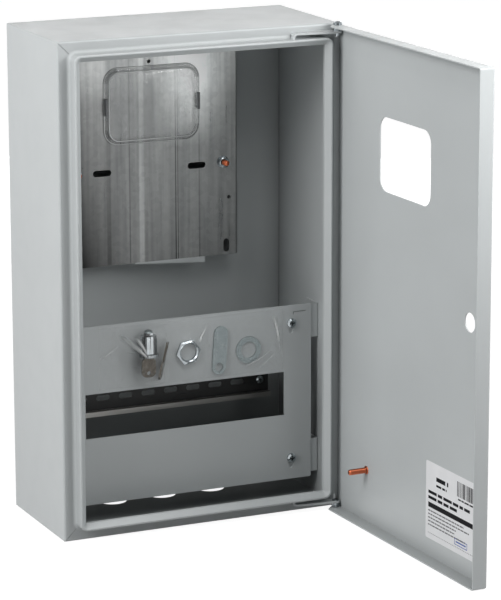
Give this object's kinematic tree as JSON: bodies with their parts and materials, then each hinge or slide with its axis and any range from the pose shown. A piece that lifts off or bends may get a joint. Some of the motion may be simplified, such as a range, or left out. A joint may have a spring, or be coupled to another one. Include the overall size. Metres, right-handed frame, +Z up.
{
  "type": "electrical enclosure",
  "caption": "Wall-mounted sheet-steel meter and breaker enclosure with a hinged windowed door, meter plate, slotted cover, mounting rail and a loose lock kit.",
  "frame": {"origin": "centre of the cabinet's flat back face, the face that goes against the wall", "axes": "+Y into the wall, so the opening faces -Y; +Z up; +X to the right as seen from the front"},
  "size_m": [0.3097, 0.4427, 0.5029],
  "materials": {
    "powder_coat": "satin light grey powder coat",
    "galvanised": "rolled galvanised sheet",
    "zinc": "bright zinc plate",
    "copper": "copper-plated steel",
    "chrome": "bright chrome plate",
    "key_steel": "dull nickel",
    "clear_plastic": "clear moulded plastic",
    "grey_plastic": "grey moulded plastic",
    "clear_film": "thin clear film"
  },
  "bodies": {
    "cabinet": {"cabinet_shell": "powder_coat", "hinge_strap_top": "powder_coat", "hinge_strap_bottom": "powder_coat", "hinge_screw_top": "zinc", "hinge_screw_bottom": "zinc", "hinge_spacer_top": "zinc", "hinge_spacer_bottom": "zinc", "cover_bracket_upper_right": "powder_coat", "cover_bracket_lower_right": "powder_coat", "cover_bracket_upper_left": "powder_coat", "cover_bracket_lower_left": "powder_coat", "cover_panel": "powder_coat", "cover_screws": "zinc", "mounting_rail": "galvanised", "rail_stand_right": "galvanised", "rail_stand_left": "galvanised", "rail_screws": "zinc", "meter_plate": "galvanised", "plate_ledge": "powder_coat", "plate_studs": "copper", "plate_spacers": "zinc", "plate_washers": "zinc", "plate_nuts": "zinc", "window_insert": "clear_plastic", "window_clips": "grey_plastic", "kit_film": "clear_film", "lock_cylinder": "chrome", "lock_cam_screw": "zinc", "lock_keys": "key_steel", "lock_nut": "chrome", "lock_cam": "zinc", "lock_washer": "zinc"},
    "door": {"door_panel": "powder_coat", "door_earth_stud": "copper"}
  },
  "joints": [
    {"name": "door_hinge", "type": "hinge", "parent": "cabinet", "child": "door", "pos_m": [0.1435, -0.149, 0], "axis": [0, 0, 1], "range_deg": [-92, 12]}
  ]
}
